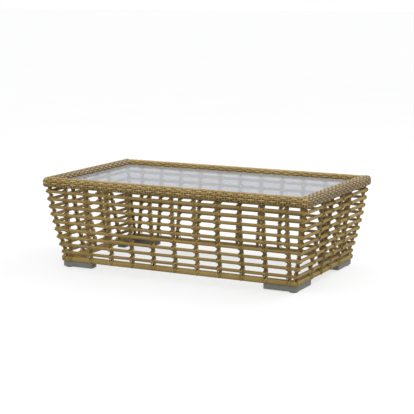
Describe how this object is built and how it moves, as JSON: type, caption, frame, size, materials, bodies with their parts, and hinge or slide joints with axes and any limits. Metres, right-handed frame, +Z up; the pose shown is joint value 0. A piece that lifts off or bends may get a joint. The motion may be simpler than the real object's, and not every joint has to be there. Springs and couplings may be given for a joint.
{
  "type": "coffee table",
  "caption": "Low rectangular garden coffee table: glass top set in a woven rim, over an open cane lattice that tapers to a flat rail on four L-shaped metal feet.",
  "frame": {"origin": "on the floor under the middle of the table", "axes": "+X along the table's length, -Y is the long front side, +Z up"},
  "size_m": [1.2, 0.69, 0.382],
  "materials": {
    "cane": "honey-brown round synthetic cane, satin",
    "weave": "golden brown woven synthetic strand, matte",
    "frame_metal": "brown powder coat",
    "foot_metal": "dark grey powder coat, matte",
    "glass": "clear tempered glass, polished edges",
    "black_plastic": "black moulded plastic",
    "clear_rubber": "translucent bumper pad"
  },
  "bodies": {
    "table": {"woven_rim": "weave", "top_frame": "frame_metal", "glass_pad_front_left": "clear_rubber", "glass_pad_front_right": "clear_rubber", "glass_pad_back_right": "clear_rubber", "glass_pad_back_left": "clear_rubber", "rod_1": "cane", "rod_2": "cane", "rod_3": "cane", "rod_4": "cane", "rod_5": "cane", "rod_6": "cane", "rod_7": "cane", "rod_8": "cane", "rod_9": "cane", "stake_front_1": "cane", "stake_front_2": "cane", "stake_front_3": "cane", "stake_front_4": "cane", "stake_front_5": "cane", "stake_front_6": "cane", "stake_front_7": "cane", "stake_front_8": "cane", "stake_front_9": "cane", "stake_front_10": "cane", "stake_front_11": "cane", "stake_back_1": "cane", "stake_back_2": "cane", "stake_back_3": "cane", "stake_back_4": "cane", "stake_back_5": "cane", "stake_back_6": "cane", "stake_back_7": "cane", "stake_back_8": "cane", "stake_back_9": "cane", "stake_back_10": "cane", "stake_back_11": "cane", "stake_left_1": "cane", "stake_left_2": "cane", "stake_left_3": "cane", "stake_left_4": "cane", "stake_right_1": "cane", "stake_right_2": "cane", "stake_right_3": "cane", "stake_right_4": "cane", "stake_front_left": "cane", "stake_front_right": "cane", "stake_back_right": "cane", "stake_back_left": "cane", "bottom_rail_wrap": "weave", "bottom_frame": "frame_metal", "foot_front_left": "foot_metal", "foot_front_right": "foot_metal", "foot_back_right": "foot_metal", "foot_back_left": "foot_metal"},
    "glass": {"glass_top": "glass"},
    "glide_body_front_left": {"glide_front_left": "black_plastic"},
    "glide_body_front_right": {"glide_front_right": "black_plastic"},
    "glide_body_back_right": {"glide_back_right": "black_plastic"},
    "glide_body_back_left": {"glide_back_left": "black_plastic"}
  },
  "joints": [
    {"name": "glass_lift", "type": "slide", "parent": "table", "child": "glass", "axis": [0, 0, 1], "range_m": [0, 0.06]},
    {"name": "glide_front_left_screw", "type": "slide", "parent": "table", "child": "glide_body_front_left", "axis": [0, 0, 1], "range_m": [-0.01, 0]},
    {"name": "glide_front_right_screw", "type": "slide", "parent": "table", "child": "glide_body_front_right", "axis": [0, 0, 1], "range_m": [-0.01, 0]},
    {"name": "glide_back_right_screw", "type": "slide", "parent": "table", "child": "glide_body_back_right", "axis": [0, 0, 1], "range_m": [-0.01, 0]},
    {"name": "glide_back_left_screw", "type": "slide", "parent": "table", "child": "glide_body_back_left", "axis": [0, 0, 1], "range_m": [-0.01, 0]}
  ]
}
